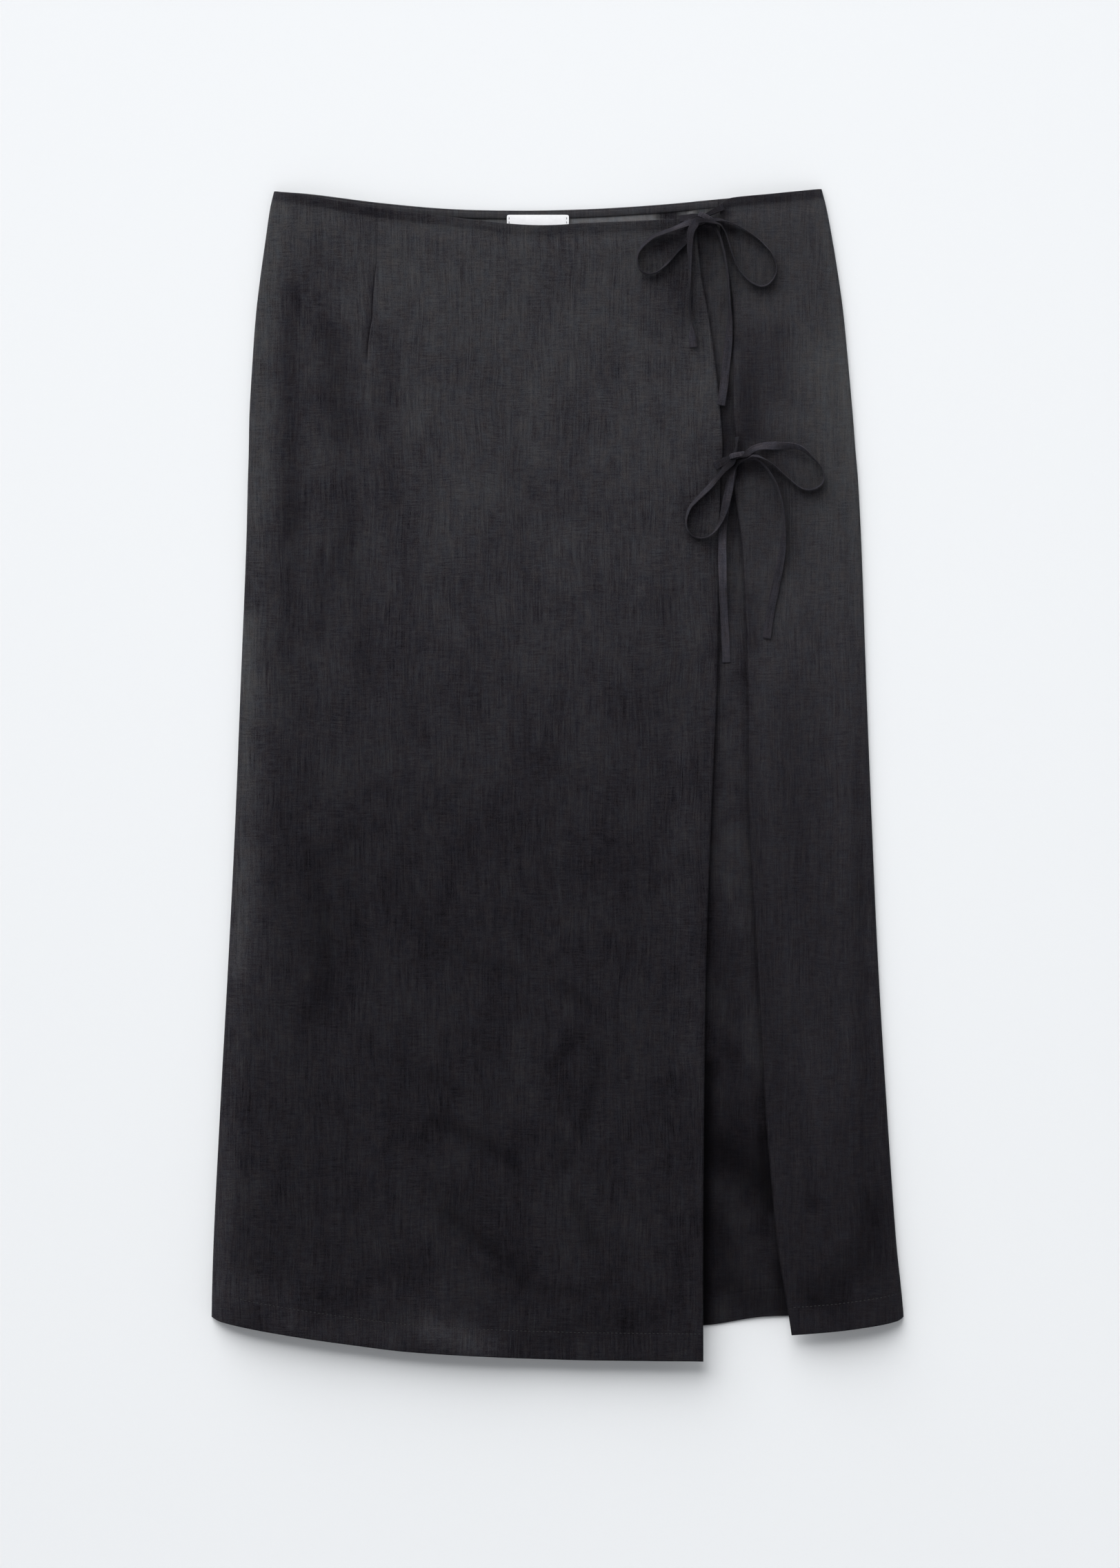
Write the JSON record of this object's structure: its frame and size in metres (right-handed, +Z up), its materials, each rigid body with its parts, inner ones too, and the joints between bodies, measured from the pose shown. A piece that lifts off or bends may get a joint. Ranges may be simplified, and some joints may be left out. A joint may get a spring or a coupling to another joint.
{
  "type": "wrap skirt sarong, laid flat",
  "caption": "Midi wrap skirt of dark linen laid flat: back panel, wide and narrow fronts open down a slit, bound back waist with a blank label, and tape bows.",
  "frame": {"origin": "on the surface that the skirt lies on, under the middle of its outline", "axes": "+Y towards the waist, +X to the right as seen from above with the waist at the top, +Z up off the surface"},
  "size_m": [0.5042, 0.85, 0.0196],
  "materials": {
    "linen": "light, semi-sheer charcoal linen in plain weave with slubs, matt",
    "binding": "charcoal linen strip, folded and sewn flat, matt",
    "label_tape": "blank white woven satin tape",
    "tie_tape": "narrow folded ties of the same charcoal linen, matt"
  },
  "bodies": {
    "root": {"back_panel": "linen", "wide_front": "linen", "narrow_front": "linen", "back_waist_binding": "binding", "label": "label_tape", "waist_lead_left": "tie_tape", "waist_lead_right": "tie_tape", "waist_loop_left": "tie_tape", "waist_loop_right": "tie_tape", "waist_tail_left": "tie_tape", "waist_tail_right": "tie_tape", "waist_knot": "tie_tape", "hip_lead_left": "tie_tape", "hip_lead_right": "tie_tape", "hip_loop_left": "tie_tape", "hip_loop_right": "tie_tape", "hip_tail_left": "tie_tape", "hip_tail_right": "tie_tape", "hip_knot": "tie_tape"}
  },
  "joints": []
}
